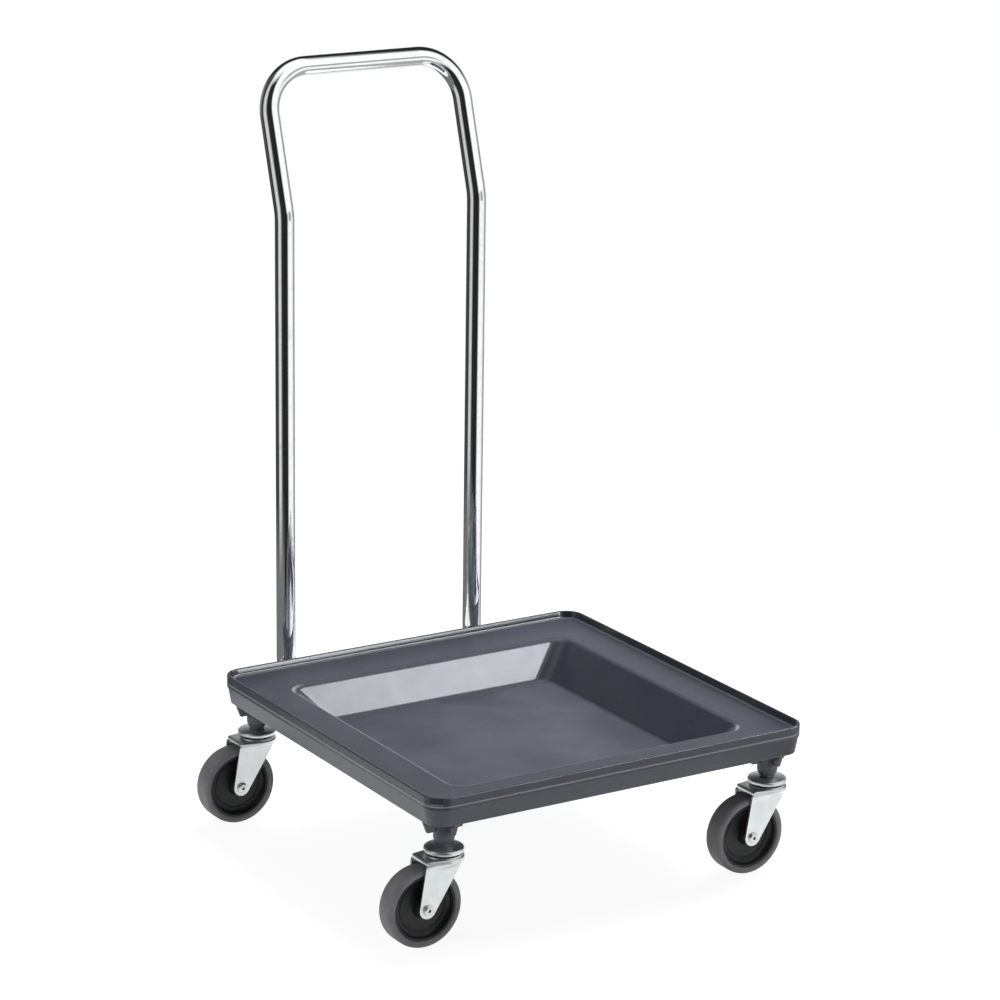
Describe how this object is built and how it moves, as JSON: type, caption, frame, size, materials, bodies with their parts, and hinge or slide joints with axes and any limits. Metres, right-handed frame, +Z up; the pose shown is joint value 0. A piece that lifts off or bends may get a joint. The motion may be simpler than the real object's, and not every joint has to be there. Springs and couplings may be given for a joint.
{
  "type": "dish rack dolly",
  "caption": "Square moulded dish rack dolly with a raised lip, a sunken basin, a bent tube push handle leaning back at the top, and swivel casters under the corners.",
  "frame": {"origin": "middle of the footprint's box, on the floor under the wheels", "axes": "+Z up; +Y from the front edge to the handle; +X to the right along the front edge"},
  "size_m": [0.587, 0.6644, 0.9592],
  "materials": {
    "tray_plastic": "slate grey, finely textured moulding",
    "chromed_tube": "bright chromium plate on steel tube",
    "zinc_steel": "pale zinc plate on pressed and turned steel",
    "bearing_steel": "ground steel, lightly greased",
    "hub_plastic": "black moulding with a soft sheen",
    "tread_rubber": "grey non-marking rubber, matt",
    "black_nylon": "black, satin",
    "insert_brass": "turned brass"
  },
  "bodies": {
    "chassis": {"tray": "tray_plastic", "handle": "chromed_tube", "handle_plugs": "black_nylon", "handle_bolts": "zinc_steel", "handle_washers": "zinc_steel", "handle_nuts": "zinc_steel", "stem_inserts": "insert_brass", "stem_front_left": "zinc_steel", "stem_front_right": "zinc_steel", "stem_back_left": "zinc_steel", "stem_back_right": "zinc_steel", "upper_race_front_left": "zinc_steel", "upper_race_front_right": "zinc_steel", "upper_race_back_left": "zinc_steel", "upper_race_back_right": "zinc_steel", "lower_race_front_left": "zinc_steel", "lower_race_front_right": "zinc_steel", "lower_race_back_left": "zinc_steel", "lower_race_back_right": "zinc_steel"},
    "swivel_front_left": {"fork_front_left": "zinc_steel", "upper_balls_front_left": "bearing_steel", "lower_balls_front_left": "bearing_steel", "axle_bolt_front_left": "zinc_steel", "axle_nut_front_left": "zinc_steel", "axle_sleeve_front_left": "bearing_steel"},
    "wheel_front_left": {"hub_front_left": "hub_plastic", "hub_bush_front_left": "black_nylon", "tread_front_left": "tread_rubber"},
    "swivel_front_right": {"fork_front_right": "zinc_steel", "upper_balls_front_right": "bearing_steel", "lower_balls_front_right": "bearing_steel", "axle_bolt_front_right": "zinc_steel", "axle_nut_front_right": "zinc_steel", "axle_sleeve_front_right": "bearing_steel"},
    "wheel_front_right": {"hub_front_right": "hub_plastic", "hub_bush_front_right": "black_nylon", "tread_front_right": "tread_rubber"},
    "swivel_back_left": {"fork_back_left": "zinc_steel", "upper_balls_back_left": "bearing_steel", "lower_balls_back_left": "bearing_steel", "axle_bolt_back_left": "zinc_steel", "axle_nut_back_left": "zinc_steel", "axle_sleeve_back_left": "bearing_steel"},
    "wheel_back_left": {"hub_back_left": "hub_plastic", "hub_bush_back_left": "black_nylon", "tread_back_left": "tread_rubber"},
    "swivel_back_right": {"fork_back_right": "zinc_steel", "upper_balls_back_right": "bearing_steel", "lower_balls_back_right": "bearing_steel", "axle_bolt_back_right": "zinc_steel", "axle_nut_back_right": "zinc_steel", "axle_sleeve_back_right": "bearing_steel"},
    "wheel_back_right": {"hub_back_right": "hub_plastic", "hub_bush_back_right": "black_nylon", "tread_back_right": "tread_rubber"}
  },
  "joints": [
    {"name": "caster_swivel_front_left", "type": "hinge", "parent": "chassis", "child": "swivel_front_left", "pos_m": [-0.2115, -0.29721, 0.11403], "axis": [0, 0, 1], "continuous": true},
    {"name": "wheel_spin_front_left", "type": "hinge", "parent": "swivel_front_left", "child": "wheel_front_left", "pos_m": [-0.2435, -0.29721, 0.05], "axis": [0, 1, 0], "continuous": true},
    {"name": "caster_swivel_front_right", "type": "hinge", "parent": "chassis", "child": "swivel_front_right", "pos_m": [0.2585, -0.29721, 0.11403], "axis": [0, 0, 1], "continuous": true},
    {"name": "wheel_spin_front_right", "type": "hinge", "parent": "swivel_front_right", "child": "wheel_front_right", "pos_m": [0.2265, -0.29721, 0.05], "axis": [0, 1, 0], "continuous": true},
    {"name": "caster_swivel_back_left", "type": "hinge", "parent": "chassis", "child": "swivel_back_left", "pos_m": [-0.2115, 0.17279, 0.11403], "axis": [0, 0, 1], "continuous": true},
    {"name": "wheel_spin_back_left", "type": "hinge", "parent": "swivel_back_left", "child": "wheel_back_left", "pos_m": [-0.2435, 0.17279, 0.05], "axis": [0, 1, 0], "continuous": true},
    {"name": "caster_swivel_back_right", "type": "hinge", "parent": "chassis", "child": "swivel_back_right", "pos_m": [0.2585, 0.17279, 0.11403], "axis": [0, 0, 1], "continuous": true},
    {"name": "wheel_spin_back_right", "type": "hinge", "parent": "swivel_back_right", "child": "wheel_back_right", "pos_m": [0.2265, 0.17279, 0.05], "axis": [0, 1, 0], "continuous": true}
  ]
}
